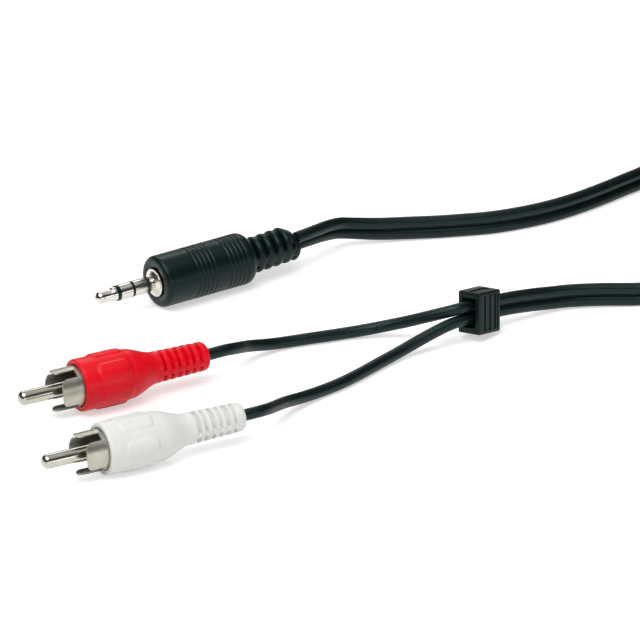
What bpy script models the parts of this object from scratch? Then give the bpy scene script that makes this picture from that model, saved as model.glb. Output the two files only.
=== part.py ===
# Audio adapter cable: one 3.5 mm stereo jack, a flat twin cable, a splitter block
# and two single leads that end in a red and a white phono plug.
# Units are metres, +Z is up, and everything lies on the plane z = 0.
import math

import bmesh
import bpy
from mathutils import Matrix, Vector

# Facets
BODY_SIDES = 24
SMALL_SIDES = 16
COIL_SIDES = 36

# Webs across the grooves of every relief, on its near and far sides
WEB_HALF_ANGLE = math.radians(25)

# Clearances between pieces
FIT = 0.00004
FACE_GAP = 0.00003
SEAT_GAP = 0.0003

# Jack contacts, measured from the front plane of the flange, the tip towards -X
TIP_LENGTH = 0.0150
TIP_BULLET_LENGTH = 0.0040
TIP_NOSE_LENGTH = 0.0013
TIP_BULLET_RADIUS = 0.0014
TIP_WAIST_RADIUS = 0.00125
TIP_COLLAR_STEP = 0.0002
TIP_COLLAR_LENGTH = 0.0009
TIP_COLLAR_RADIUS = 0.00155
BARREL_RADIUS = 0.00175
TIP_INSULATOR_LENGTH = 0.00075
RING_LENGTH = 0.0030
RING_INSULATOR_LENGTH = 0.0006
SLEEVE_LENGTH = 0.00405
NECK_STEP = 0.0002
NECK_RADIUS = 0.00155
FLANGE_RADIUS = 0.00315
FLANGE_THICKNESS = 0.0004
FLANGE_CONE_START_RADIUS = 0.0018
FLANGE_CONE_RADIUS = 0.00265
FLANGE_CONE_LENGTH = 0.0007
STEM_RADIUS = 0.0024
STEM_LENGTH = 0.0026

# Nested tubes inside the jack, all on one axis
ROD_RADIUS = 0.0005
TUBE_WALL = 0.00028
RING_TUBE_WALL = 0.00028
OUTER_TUBE_WALL = 0.0002
TUBE_STEP = 0.0014

# Solder lugs behind the flange
LUG_THICKNESS = 0.0003
LUG_EYE_WALL = 0.0008
LUG_TAIL_LENGTH = 0.0045
LUG_TAIL_WIDTH = 0.0011

# Inner mouldings behind the contacts
MOULD_WALL = 0.0004
MOULD_LENGTH = 0.0080

# Jack housing with its strain relief
JACK_BODY_RADIUS = 0.00575
JACK_BODY_LENGTH = 0.0215
JACK_EDGE_ROUNDING = 0.0011
JACK_SHOULDER_LENGTH = 0.0019
JACK_POCKET_DEPTH = 0.0125
JACK_RELIEF_RADIUS = 0.00365
JACK_RELIEF_CORE_RADIUS = 0.00275
JACK_RELIEF_LENGTH = 0.0124
JACK_RELIEF_PITCH = 0.00234
JACK_RELIEF_FIRST_GROOVE = 0.0011
JACK_RELIEF_GROOVE_WIDTH = 0.0011
JACK_RELIEF_WEB_DEPTH = 0.0002
JACK_RELIEF_END_ROUNDING = 0.0012
RING_GROOVE_DEPTH = 0.0002
RING_GROOVE_WIDTH = 0.0004
RING_GROOVE_PITCH = 0.0011
RING_GROOVES = 5
FRONT_GROOVES_START = 0.0083
REAR_GROOVES_INSET = 0.0010

# Phono plug contacts, measured from the front plane of the housing, the pin towards -X
PIN_RADIUS = 0.0016
PIN_LENGTH = 0.0137
PIN_TIP_ROUNDING = 0.0012
PIN_TAIL_RADIUS = 0.0010
PIN_TAIL_LENGTH = 0.0040
COLLAR_RADIUS = 0.0045
COLLAR_TIP_RADIUS = 0.00445
COLLAR_WALL = 0.00035
COLLAR_REACH = 0.0058
COLLAR_SEAT_LENGTH = 0.0050
COLLAR_SLOT_WIDTH = 0.0020
COLLAR_SLOT_STOP = 0.0024
COLLAR_CORNER_RADIUS = 0.0016
COLLAR_TURN = math.radians(15)
PIN_INSULATOR_FRONT = 0.0012

# Phono housing, the sizes that both plugs share
PHONO_RIM_RADIUS = 0.0057
PHONO_RIM_ROUNDING = 0.0005
PHONO_BODY_RADIUS = 0.0057
PHONO_TAPER_RADIUS = 0.0054
PHONO_RELIEF_RADIUS = 0.00345
PHONO_RELIEF_END_RADIUS = 0.00315
PHONO_POCKET_DEPTH = 0.0125
PHONO_GROOVE_DEPTH = 0.0006
PHONO_GROOVE_WIDTH = 0.0007
PHONO_GROOVE_PITCH = 0.00175
PHONO_END_ROUNDING = 0.0011
PAD_COUNT = 6
PAD_HEIGHT = 0.0003
PAD_START = 0.0035
PAD_END = 0.0105
PAD_EDGE = 0.0007
PAD_HALF_ANGLE = math.radians(17)
PAD_EDGE_ANGLE = math.radians(4)

# Phono housings: the length of each one's own stretches, the first groove's place
# behind the neck, and how its pads are turned
RED_PLUG = {
    "body_length": 0.0087,
    "taper_length": 0.0031,
    "neck_length": 0.0069,
    "first_groove": 0.00115,
    "relief_length": 0.01235,
    "pad_turn": math.radians(-15),
}
WHITE_PLUG = {
    "body_length": 0.0092,
    "taper_length": 0.0036,
    "neck_length": 0.0075,
    "first_groove": 0.0016,
    "relief_length": 0.0131,
    "pad_turn": math.radians(10),
}

# Splitter block: X along the cable, Y across, Z over its height
BLOCK_LENGTH = 0.0071
BLOCK_WIDTH = 0.0061
BLOCK_HEIGHT = 0.0092
BLOCK_ROUNDING = 0.0004
BLOCK_SLOT_WIDTH = 0.0037
BLOCK_SLOT_HEIGHT = 0.0065
BLOCK_LIP = 0.0008
BLOCK_PANEL_DEPTH = 0.0002
BLOCK_GROOVES = 3
BLOCK_GROOVE_PITCH = 0.0017
BLOCK_GROOVE_WIDTH = 0.0007
BLOCK_GROOVE_DEPTH = 0.0003

# Cords
LEAD_RADIUS = 0.00125
TWIN_WEB_HALF_WIDTH = 0.00055
ROUTE_STEP = 0.0054

# Coil of the stored length, and its tie
COIL_CENTRE = (0.1495, -0.00988)
COIL_INNER_RADIUS = 0.0235
COIL_OUTER_RADIUS = 0.0360
COIL_HEIGHT = 0.0103
COIL_CORNER = 0.0012
TIE_THICKNESS = 0.0004
TIE_WIDTH = 0.0055
TIE_GAP = 0.0003
TIE_HEADING = math.radians(-30)

# Places on the floor: x, y and heading of each plug's front plane
JACK_PLACE = (0.00225, 0.03249, math.radians(3.6))
RED_PLACE = (-0.03711, -0.00429, math.radians(-1.35))
WHITE_PLACE = (-0.0473, -0.03338, math.radians(-1.8))
BLOCK_PLACE = (0.0564, -0.01424)
BLOCK_TURN = (math.radians(-9.3), math.radians(10.7), math.radians(18.7))

# Routes of the cords' centre lines
TWIN_ROUTE = [
    (0.03880, 0.03479, 0.00575), (0.0406, 0.03494, 0.00585), (0.0443, 0.03600, 0.0061),
    (0.0482, 0.03745, 0.0056), (0.0520, 0.03855, 0.0046), (0.0551, 0.03832, 0.0038),
    (0.0612, 0.03662, 0.0030), (0.0672, 0.03472, 0.0026), (0.0730, 0.03262, 0.0026),
    (0.0788, 0.03042, 0.0026), (0.0848, 0.02842, 0.0026), (0.0912, 0.02732, 0.0026),
    (0.0980, 0.02692, 0.0026), (0.1052, 0.02742, 0.0026), (0.1129, 0.02882, 0.0026),
    (0.1208, 0.03072, 0.0026), (0.1247, 0.03162, 0.0026), (0.1312, 0.03342, 0.0026),
    (0.1376, 0.03442, 0.0026), (0.1437, 0.03432, 0.0026), (0.1497, 0.03302, 0.0026),
    (0.1579, 0.02942, 0.0029), (0.1639, 0.02562, 0.0032), (0.1662, 0.02402, 0.0032),
]
TAIL_ROUTE = [
    (0.0562, -0.01408, 0.0054), (0.0597, -0.01288, 0.0047), (0.0646, -0.01278, 0.0043),
    (0.0701, -0.01258, 0.0037), (0.0753, -0.01238, 0.0029), (0.0800, -0.01308, 0.0026),
    (0.0859, -0.01548, 0.0026), (0.0919, -0.01828, 0.0026), (0.0938, -0.01918, 0.0026),
    (0.0985, -0.02218, 0.0031), (0.1034, -0.02568, 0.0042), (0.1084, -0.02908, 0.0057),
    (0.1135, -0.03238, 0.0070), (0.1186, -0.03548, 0.0079), (0.1258, -0.03898, 0.0083),
]
RED_ROUTE = [
    (-0.00567, -0.00503, 0.0060), (-0.0040, -0.00503, 0.0060), (-0.0012, -0.00478, 0.0058),
    (0.0025, -0.00348, 0.0049), (0.0068, -0.00118, 0.0034), (0.0125, 0.00012, 0.0019),
    (0.0174, 0.00022, 0.0013), (0.0219, -0.00058, 0.0013), (0.0263, -0.00148, 0.0013),
    (0.0307, -0.00228, 0.0013), (0.0348, -0.00368, 0.0017), (0.0385, -0.00578, 0.0026),
    (0.0417, -0.00868, 0.0040), (0.0447, -0.01168, 0.0056), (0.0478, -0.01428, 0.0071),
    (0.05075, -0.01566, 0.00789), (0.05354, -0.01471, 0.00733), (0.05605, -0.01386, 0.00683),
]
WHITE_ROUTE = [
    (-0.01352, -0.03444, 0.0060), (-0.0117, -0.03446, 0.0060), (-0.0091, -0.03428, 0.0058),
    (-0.0058, -0.03248, 0.0049), (-0.0001, -0.02858, 0.0032), (0.0063, -0.02578, 0.0018),
    (0.0119, -0.02418, 0.0013), (0.0171, -0.02298, 0.0013), (0.0227, -0.02108, 0.0013),
    (0.0283, -0.01888, 0.0013), (0.0338, -0.01698, 0.0015), (0.0386, -0.01608, 0.0023),
    (0.0429, -0.01608, 0.0036), (0.0470, -0.01633, 0.0048), (0.0504, -0.01625, 0.00517),
    (0.0532, -0.01531, 0.00462), (0.05571, -0.01446, 0.00412),
]

# Colours, roughness and metallic value of each material
FINISHES = {
    "nickel": ((0.62, 0.58, 0.54), 0.25, 1.0),
    "brass": ((0.62, 0.50, 0.28), 0.35, 1.0),
    "black_plastic": ((0.02, 0.024, 0.025), 0.45, 0.0),
    "red_plastic": ((0.70, 0.01, 0.02), 0.35, 0.0),
    "white_plastic": ((0.80, 0.80, 0.78), 0.40, 0.0),
    "grey_plastic": ((0.35, 0.36, 0.36), 0.50, 0.0),
    "cable_sheath": ((0.03, 0.036, 0.038), 0.40, 0.0),
}


def clear_scene():
    for item in list(bpy.data.objects):
        bpy.data.objects.remove(item, do_unlink=True)


def piece_material(name, finish):
    colour, roughness, metallic = FINISHES[finish]
    material = bpy.data.materials.new(name + "_material")
    material.use_nodes = True
    shader = material.node_tree.nodes["Principled BSDF"]
    shader.inputs["Base Color"].default_value = (*colour, 1.0)
    shader.inputs["Roughness"].default_value = roughness
    shader.inputs["Metallic"].default_value = metallic
    material.diffuse_color = (*colour, 1.0)
    return material


def add_object(name, data, finish, parent=None):
    item = bpy.data.objects.new(name, data)
    data.materials.append(piece_material(name, finish))
    bpy.context.collection.objects.link(item)
    item.parent = parent
    return item


def add_empty(name, x, y, z, heading):
    item = bpy.data.objects.new(name, None)
    bpy.context.collection.objects.link(item)
    item.location = (x, y, z)
    item.rotation_euler = (0.0, 0.0, heading)
    return item


def mesh_from(name, work):
    bmesh.ops.recalc_face_normals(work, faces=work.faces)
    mesh = bpy.data.meshes.new(name)
    work.to_mesh(mesh)
    work.free()
    mesh.shade_smooth()
    mesh.set_sharp_from_angle(angle=math.radians(32))
    return mesh


def even_angles(sides):
    # The first angle points down, so that a round body rests on a vertex line.
    return [math.radians(-90) + 2 * math.pi * i / sides for i in range(sides)]


def turned_mesh(name, profile, angles, closed=False, surface=None):
    # Profile points are (x, radius); a closed profile makes a tube, an open one starts
    # and ends on the axis. surface(x, radius, angle) gives the radius at one angle.
    work = bmesh.new()
    rings = []
    for x, radius in profile:
        if radius == 0.0:
            rings.append([work.verts.new((x, 0.0, 0.0))])
            continue
        ring = []
        for angle in angles:
            reach = surface(x, radius, angle) if surface else radius
            ring.append(work.verts.new((x, reach * math.cos(angle), reach * math.sin(angle))))
        rings.append(ring)
    pairs = list(zip(rings, rings[1:]))
    if closed:
        pairs.append((rings[-1], rings[0]))
    for first, second in pairs:
        for i in range(len(angles)):
            j = (i + 1) % len(angles)
            corners = [first[i % len(first)], first[j % len(first)]]
            corners += [second[j % len(second)], second[i % len(second)]]
            corners = list(dict.fromkeys(corners))
            if len(corners) > 2:
                work.faces.new(corners)
    return mesh_from(name, work)


def round_corner(x, radius, size, start, end, steps=3):
    # An arc of the given size about (x, radius), from one direction to another in degrees.
    points = []
    for i in range(steps + 1):
        angle = math.radians(start + (end - start) * i / steps)
        points.append((x + size * math.cos(angle), radius + size * math.sin(angle)))
    return points


def lowest_point(mesh):
    return min(vertex.co.z for vertex in mesh.vertices)


def window(angle, centre, half_width):
    # True where an angle lies inside a window about a centre.
    offset = (angle - centre + math.pi) % (2 * math.pi) - math.pi
    return abs(offset) < half_width


def at_side(angle):
    # True on the near and far sides of a plug, where webs cross its relief's grooves.
    half = WEB_HALF_ANGLE
    return window(angle, 0.0, half) or window(angle, math.pi, half)


def add_guide(name, mesh, parent=None):
    guide = bpy.data.objects.new(name, mesh)
    bpy.context.collection.objects.link(guide)
    guide.parent = parent
    guide.hide_render = True
    guide.display_type = "WIRE"
    return guide


def cut(item, guide, operation="DIFFERENCE"):
    modifier = item.modifiers.new(guide.name, "BOOLEAN")
    modifier.operation = operation
    modifier.object = guide
    modifier.solver = "EXACT"


def box_mesh(name, low, high):
    work = bmesh.new()
    bmesh.ops.create_cube(work, size=1.0)
    size = Vector(high) - Vector(low)
    centre = (Vector(high) + Vector(low)) / 2
    bmesh.ops.transform(work, matrix=Matrix.Diagonal((*size, 1.0)), verts=work.verts)
    bmesh.ops.translate(work, vec=centre, verts=work.verts)
    return mesh_from(name, work)


def tube_profile(start, end, inner, outer):
    return [(start, inner), (start, outer), (end, outer), (end, inner)]


# Stations along the jack's axis, worked out from the lengths above
TIP_SHOULDER = -TIP_LENGTH + TIP_BULLET_LENGTH
TIP_INSULATOR_START = TIP_SHOULDER + TIP_COLLAR_STEP + TIP_COLLAR_LENGTH
RING_START = TIP_INSULATOR_START + TIP_INSULATOR_LENGTH
RING_INSULATOR_START = RING_START + RING_LENGTH
SLEEVE_START = RING_INSULATOR_START + RING_INSULATOR_LENGTH
SLEEVE_END = SLEEVE_START + SLEEVE_LENGTH
STEM_END = FLANGE_THICKNESS + STEM_LENGTH
OUTER_TUBE_END = STEM_END + TUBE_STEP
RING_TUBE_END = OUTER_TUBE_END + TUBE_STEP
INNER_TUBE_END = RING_TUBE_END + TUBE_STEP
ROD_END = INNER_TUBE_END + TUBE_STEP

# Radii of the nested tubes
INNER_TUBE_BORE = ROD_RADIUS + FIT
INNER_TUBE_RADIUS = INNER_TUBE_BORE + TUBE_WALL
RING_TUBE_BORE = INNER_TUBE_RADIUS + FIT
RING_TUBE_RADIUS = RING_TUBE_BORE + RING_TUBE_WALL
OUTER_TUBE_BORE = RING_TUBE_RADIUS + FIT
OUTER_TUBE_RADIUS = OUTER_TUBE_BORE + OUTER_TUBE_WALL
SLEEVE_BORE = OUTER_TUBE_RADIUS + FIT

# Holes of the solder lugs; the sleeve's lug is wide enough to pass the ring's lug
TIP_LUG_HOLE = ROD_RADIUS + FIT
RING_LUG_HOLE = RING_TUBE_RADIUS + FIT
SLEEVE_LUG_EYE = RING_LUG_HOLE + LUG_EYE_WALL + 1.8 * LUG_THICKNESS


def make_jack_tip(parent):
    # Shares of the nose's length and of the bullet's radius, from the apex back
    nose = [(0.0, 0.0), (0.07, 0.28), (0.23, 0.52), (0.70, 0.90), (1.0, 1.0), (1.23, 1.0)]
    profile = [(-TIP_LENGTH + along * TIP_NOSE_LENGTH, out * TIP_BULLET_RADIUS)
               for along, out in nose]
    profile += [
        (TIP_SHOULDER, TIP_WAIST_RADIUS),
        (TIP_SHOULDER + TIP_COLLAR_STEP, TIP_COLLAR_RADIUS),
        (TIP_INSULATOR_START - FACE_GAP, TIP_COLLAR_RADIUS),
        (TIP_INSULATOR_START - FACE_GAP, ROD_RADIUS),
        (ROD_END, ROD_RADIUS),
        (ROD_END, 0.0),
    ]
    mesh = turned_mesh("jack_tip", profile, even_angles(SMALL_SIDES))
    return add_object("jack_tip", mesh, "nickel", parent)


def make_stepped_tube(name, start, step, end, bore, tube_radius, head_radius, finish, parent):
    # A contact or insulator: a wide ring in the barrel and a thin tube that runs back.
    profile = [
        (start, bore),
        (start, head_radius),
        (step - FACE_GAP, head_radius),
        (step - FACE_GAP, tube_radius),
        (end, tube_radius),
        (end, bore),
    ]
    mesh = turned_mesh(name, profile, even_angles(SMALL_SIDES), closed=True)
    return add_object(name, mesh, finish, parent)


def make_jack_sleeve(parent):
    profile = [
        (SLEEVE_START, SLEEVE_BORE),
        (SLEEVE_START, BARREL_RADIUS),
        (SLEEVE_END, BARREL_RADIUS),
        (SLEEVE_END + NECK_STEP, NECK_RADIUS),
        (-FLANGE_CONE_LENGTH, NECK_RADIUS),
        (-FLANGE_CONE_LENGTH, FLANGE_CONE_START_RADIUS),
        (0.0, FLANGE_CONE_RADIUS),
        (0.0, FLANGE_RADIUS),
        (FLANGE_THICKNESS, FLANGE_RADIUS),
        (FLANGE_THICKNESS, STEM_RADIUS),
        (STEM_END, STEM_RADIUS),
        (STEM_END, SLEEVE_BORE),
    ]
    mesh = turned_mesh("jack_sleeve", profile, even_angles(SMALL_SIDES), closed=True)
    return add_object("jack_sleeve", mesh, "nickel", parent)


def make_lug(name, start, hole, eye, side, parent):
    # A stamped eye round its tube, with a tail bent back for the solder joint.
    profile = tube_profile(start, start + LUG_THICKNESS, hole, eye)
    mesh = turned_mesh(name, profile, even_angles(SMALL_SIDES), closed=True)
    lug = add_object(name, mesh, "brass", parent)
    inner = eye - 1.2 * LUG_THICKNESS
    outer = eye - 0.2 * LUG_THICKNESS
    tail_start = start + 0.5 * LUG_THICKNESS
    low = (tail_start, -LUG_TAIL_WIDTH / 2, inner)
    high = (start + LUG_TAIL_LENGTH, LUG_TAIL_WIDTH / 2, outer)
    tail = add_guide(name + "_tail", box_mesh(name + "_tail", low, high), parent)
    tail.rotation_euler = (side, 0.0, 0.0)
    cut(lug, tail, "UNION")
    return lug


def make_mould(name, start, length, inner, outer, parent):
    profile = tube_profile(start, start + length, inner, outer)
    mesh = turned_mesh(name, profile, even_angles(SMALL_SIDES), closed=True)
    return add_object(name, mesh, "grey_plastic", parent)


def groove_points(centre, width, radius, floor):
    # The four profile points of one square groove.
    half = width / 2
    return [
        (centre - half, radius),
        (centre - 0.8 * half, floor),
        (centre + 0.8 * half, floor),
        (centre + half, radius),
    ]


def groove_centres(first, pitch, limit):
    # As many grooves as end before the limit, which leaves a whole rib behind the last.
    count = max(0, math.floor((limit - first) / pitch) + 1)
    return [first + pitch * i for i in range(count)]


def make_jack_housing(parent):
    front = FLANGE_THICKNESS
    bore = FLANGE_RADIUS + SEAT_GAP / 2
    body_end = front + JACK_BODY_LENGTH
    relief_start = body_end + JACK_SHOULDER_LENGTH
    end = relief_start + JACK_RELIEF_LENGTH
    pocket_end = front + JACK_POCKET_DEPTH
    edge = JACK_EDGE_ROUNDING
    rear_grooves_start = body_end - REAR_GROOVES_INSET - RING_GROOVE_PITCH * (RING_GROOVES - 1)
    profile = [(pocket_end, 0.0), (pocket_end, bore), (front, bore)]
    profile += round_corner(front + edge, JACK_BODY_RADIUS - edge, edge, 180, 90)
    for start in (FRONT_GROOVES_START, rear_grooves_start):
        for i in range(RING_GROOVES):
            centre = start + RING_GROOVE_PITCH * i
            profile.append((centre - RING_GROOVE_WIDTH / 2, JACK_BODY_RADIUS))
            profile.append((centre, JACK_BODY_RADIUS - RING_GROOVE_DEPTH))
            profile.append((centre + RING_GROOVE_WIDTH / 2, JACK_BODY_RADIUS))
    # The shoulder falls to the relief in a quarter ellipse.
    drop = JACK_BODY_RADIUS - JACK_RELIEF_RADIUS
    for i in range(4):
        angle = math.radians(90 - 90 * i / 3)
        x = body_end + JACK_SHOULDER_LENGTH * math.cos(angle)
        profile.append((x, JACK_RELIEF_RADIUS + drop * math.sin(angle)))
    rounding = JACK_RELIEF_END_ROUNDING
    last_groove = end - rounding - JACK_RELIEF_GROOVE_WIDTH / 2
    for centre in groove_centres(
            relief_start + JACK_RELIEF_FIRST_GROOVE, JACK_RELIEF_PITCH, last_groove):
        profile += groove_points(
            centre, JACK_RELIEF_GROOVE_WIDTH, JACK_RELIEF_RADIUS, JACK_RELIEF_CORE_RADIUS)
    profile += round_corner(end - rounding, JACK_RELIEF_RADIUS - rounding, rounding, 90, 0)
    profile.append((end, 0.0))

    def webs(x, radius, angle):
        # The relief grooves stop at a web along each side.
        in_relief = relief_start < x < end - rounding
        if in_relief and at_side(angle) and radius < JACK_RELIEF_RADIUS:
            return JACK_RELIEF_RADIUS - JACK_RELIEF_WEB_DEPTH
        return radius

    mesh = turned_mesh("jack_housing", profile, even_angles(BODY_SIDES), surface=webs)
    return add_object("jack_housing", mesh, "black_plastic", parent)


def make_jack():
    x, y, heading = JACK_PLACE
    plug = add_empty("jack", x, y, 0.0, heading)
    make_jack_tip(plug)
    make_stepped_tube(
        "jack_tip_insulator", TIP_INSULATOR_START, RING_START, INNER_TUBE_END,
        INNER_TUBE_BORE, INNER_TUBE_RADIUS, BARREL_RADIUS, "black_plastic", plug)
    make_stepped_tube(
        "jack_ring", RING_START, RING_INSULATOR_START, RING_TUBE_END,
        RING_TUBE_BORE, RING_TUBE_RADIUS, BARREL_RADIUS, "nickel", plug)
    make_stepped_tube(
        "jack_ring_insulator", RING_INSULATOR_START, SLEEVE_START, OUTER_TUBE_END,
        OUTER_TUBE_BORE, OUTER_TUBE_RADIUS, BARREL_RADIUS, "black_plastic", plug)
    make_jack_sleeve(plug)
    make_lug("jack_sleeve_lug", STEM_END + FACE_GAP, SLEEVE_BORE, SLEEVE_LUG_EYE,
             math.radians(180), plug)
    make_lug("jack_ring_lug", OUTER_TUBE_END + FACE_GAP, RING_LUG_HOLE,
             RING_LUG_HOLE + LUG_EYE_WALL, math.radians(60), plug)
    make_lug("jack_tip_lug", INNER_TUBE_END + FACE_GAP, TIP_LUG_HOLE,
             TIP_LUG_HOLE + LUG_EYE_WALL, math.radians(-60), plug)
    mould_outer = FLANGE_RADIUS - SEAT_GAP / 2
    mould_start = STEM_END + LUG_THICKNESS + 2 * FACE_GAP
    make_mould("jack_inner_mould", mould_start, MOULD_LENGTH,
               mould_outer - MOULD_WALL, mould_outer, plug)
    housing = make_jack_housing(plug)
    plug.location.z = -lowest_point(housing.data)


def taper_end(plug):
    return plug["body_length"] + plug["taper_length"]


def neck_end(plug):
    return taper_end(plug) + plug["neck_length"]


def phono_length(plug):
    return neck_end(plug) + plug["relief_length"]


def phono_radius(x, plug):
    # Outer radius of the moulded body along its axis, without pads and grooves.
    if x < plug["body_length"]:
        return PHONO_BODY_RADIUS
    if x < taper_end(plug):
        share = (x - plug["body_length"]) / plug["taper_length"]
        return PHONO_BODY_RADIUS + share * (PHONO_TAPER_RADIUS - PHONO_BODY_RADIUS)
    if x < neck_end(plug):
        share = (x - taper_end(plug)) / plug["neck_length"]
        ease = share * share * (3 - 2 * share)
        return PHONO_TAPER_RADIUS + ease * (PHONO_RELIEF_RADIUS - PHONO_TAPER_RADIUS)
    share = (x - neck_end(plug)) / plug["relief_length"]
    return PHONO_RELIEF_RADIUS + share * (PHONO_RELIEF_END_RADIUS - PHONO_RELIEF_RADIUS)


def pad_angles(turn):
    # Angles that fall on the edges of the pads; the first pad faces the near side.
    offsets = (
        -PAD_HALF_ANGLE, -PAD_HALF_ANGLE + PAD_EDGE_ANGLE, 0.0,
        PAD_HALF_ANGLE - PAD_EDGE_ANGLE, PAD_HALF_ANGLE, math.pi / PAD_COUNT)
    angles = []
    for i in range(PAD_COUNT):
        centre = math.pi - turn + 2 * math.pi * i / PAD_COUNT
        angles += [centre + offset for offset in offsets]
    return angles


def make_phono_housing(name, finish, plug, parent):
    bore = COLLAR_RADIUS + SEAT_GAP
    end = phono_length(plug)
    edge = PHONO_RIM_ROUNDING
    profile = [(PHONO_POCKET_DEPTH, 0.0), (PHONO_POCKET_DEPTH, bore), (0.0, bore)]
    profile += round_corner(edge, PHONO_RIM_RADIUS - edge, edge, 180, 90, 1)
    stations = [PAD_START, PAD_START + PAD_EDGE, PAD_END - PAD_EDGE]
    stations += [PAD_END, taper_end(plug)]
    stations += [taper_end(plug) + plug["neck_length"] * i / 6 for i in range(1, 7)]
    profile += [(x, phono_radius(x, plug)) for x in stations]
    rounding = PHONO_END_ROUNDING
    first_groove = neck_end(plug) + plug["first_groove"]
    last_groove = end - rounding - PHONO_GROOVE_WIDTH
    for centre in groove_centres(first_groove, PHONO_GROOVE_PITCH, last_groove):
        radius = phono_radius(centre, plug)
        profile += groove_points(
            centre, PHONO_GROOVE_WIDTH, radius, radius - PHONO_GROOVE_DEPTH)
    last = phono_radius(end, plug)
    profile += round_corner(end - rounding, last - rounding, rounding, 90, 0, 2)
    profile.append((end, 0.0))
    turn = plug["pad_turn"]
    pad_centres = [math.pi - turn + 2 * math.pi * i / PAD_COUNT for i in range(PAD_COUNT)]

    def pads_and_webs(x, radius, angle):
        on_body = radius > bore + edge / 2
        on_pad = any(window(angle, centre, PAD_HALF_ANGLE - PAD_EDGE_ANGLE / 2)
                     for centre in pad_centres)
        if on_body and on_pad and PAD_START < x < PAD_END:
            return radius + PAD_HEIGHT
        if at_side(angle) and neck_end(plug) < x < end - rounding:
            return phono_radius(x, plug)
        return radius

    mesh = turned_mesh(name, profile, pad_angles(turn), surface=pads_and_webs)
    return add_object(name, mesh, finish, parent)


def slot_outline():
    # Half of a slot in (x, across): straight sides that flare out round the petals' corners.
    half = COLLAR_SLOT_WIDTH / 2
    corner = COLLAR_CORNER_RADIUS
    points = [(-COLLAR_SLOT_STOP, half), (-COLLAR_REACH + corner, half)]
    for i in range(1, 4):
        angle = math.radians(30 * i)
        points.append((-COLLAR_REACH + corner * (1 - math.sin(angle)),
                       half + corner * (1 - math.cos(angle))))
    points.append((-COLLAR_REACH - 0.001, half + corner))
    return points


def slot_cutter(name):
    half = slot_outline()
    outline = half + [(x, -across) for x, across in reversed(half)]
    work = bmesh.new()
    reach = COLLAR_RADIUS + 0.001
    bottom = [work.verts.new((x, across, -reach)) for x, across in outline]
    top = [work.verts.new((x, across, reach)) for x, across in outline]
    work.faces.new(bottom)
    work.faces.new(top)
    for i in range(len(outline)):
        j = (i + 1) % len(outline)
        work.faces.new((bottom[i], bottom[j], top[j], top[i]))
    return mesh_from(name, work)


def make_collar(name, parent):
    mesh = turned_mesh(name, [
        (-COLLAR_REACH, COLLAR_TIP_RADIUS - COLLAR_WALL),
        (-COLLAR_REACH, COLLAR_TIP_RADIUS),
        (0.0, COLLAR_RADIUS),
        (COLLAR_SEAT_LENGTH, COLLAR_RADIUS),
        (COLLAR_SEAT_LENGTH, COLLAR_RADIUS - COLLAR_WALL),
        (0.0, COLLAR_RADIUS - COLLAR_WALL),
    ], even_angles(BODY_SIDES), closed=True)
    collar = add_object(name, mesh, "nickel", parent)
    for i in range(2):
        cutter_name = f"{name}_slots_{i + 1}"
        guide = add_guide(cutter_name, slot_cutter(cutter_name), parent)
        guide.rotation_euler = (math.radians(45 + 90 * i) - COLLAR_TURN, 0.0, 0.0)
        cut(collar, guide)
    return collar


def make_pin(name, parent):
    tail_end = COLLAR_SEAT_LENGTH + PIN_TAIL_LENGTH
    profile = [(-PIN_LENGTH, 0.0)]
    tip = round_corner(-PIN_LENGTH + PIN_TIP_ROUNDING, PIN_RADIUS - PIN_TIP_ROUNDING,
                       PIN_TIP_ROUNDING, 180, 90, 3)
    profile += tip
    profile += [(COLLAR_SEAT_LENGTH, PIN_RADIUS), (COLLAR_SEAT_LENGTH, PIN_TAIL_RADIUS)]
    profile += [(tail_end, PIN_TAIL_RADIUS), (tail_end, 0.0)]
    mesh = turned_mesh(name, profile, even_angles(BODY_SIDES))
    return add_object(name, mesh, "nickel", parent)


def make_phono(colour, plug, place):
    x, y, heading = place
    holder = add_empty(colour + "_plug", x, y, 0.0, heading)
    make_pin(colour + "_pin", holder)
    insulator = turned_mesh(colour + "_insulator", tube_profile(
        PIN_INSULATOR_FRONT, COLLAR_SEAT_LENGTH, PIN_RADIUS + FIT,
        COLLAR_RADIUS - COLLAR_WALL - FIT), even_angles(BODY_SIDES), closed=True)
    add_object(colour + "_insulator", insulator, colour + "_plastic", holder)
    make_collar(colour + "_collar", holder)
    mould_start = COLLAR_SEAT_LENGTH + SEAT_GAP
    mould_length = PHONO_POCKET_DEPTH - mould_start - SEAT_GAP
    make_mould(colour + "_inner_mould", mould_start, mould_length,
               PIN_TAIL_RADIUS + SEAT_GAP, COLLAR_RADIUS, holder)
    housing = make_phono_housing(
        colour + "_housing", colour + "_plastic", plug, holder)
    holder.location.z = -lowest_point(housing.data)


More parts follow.
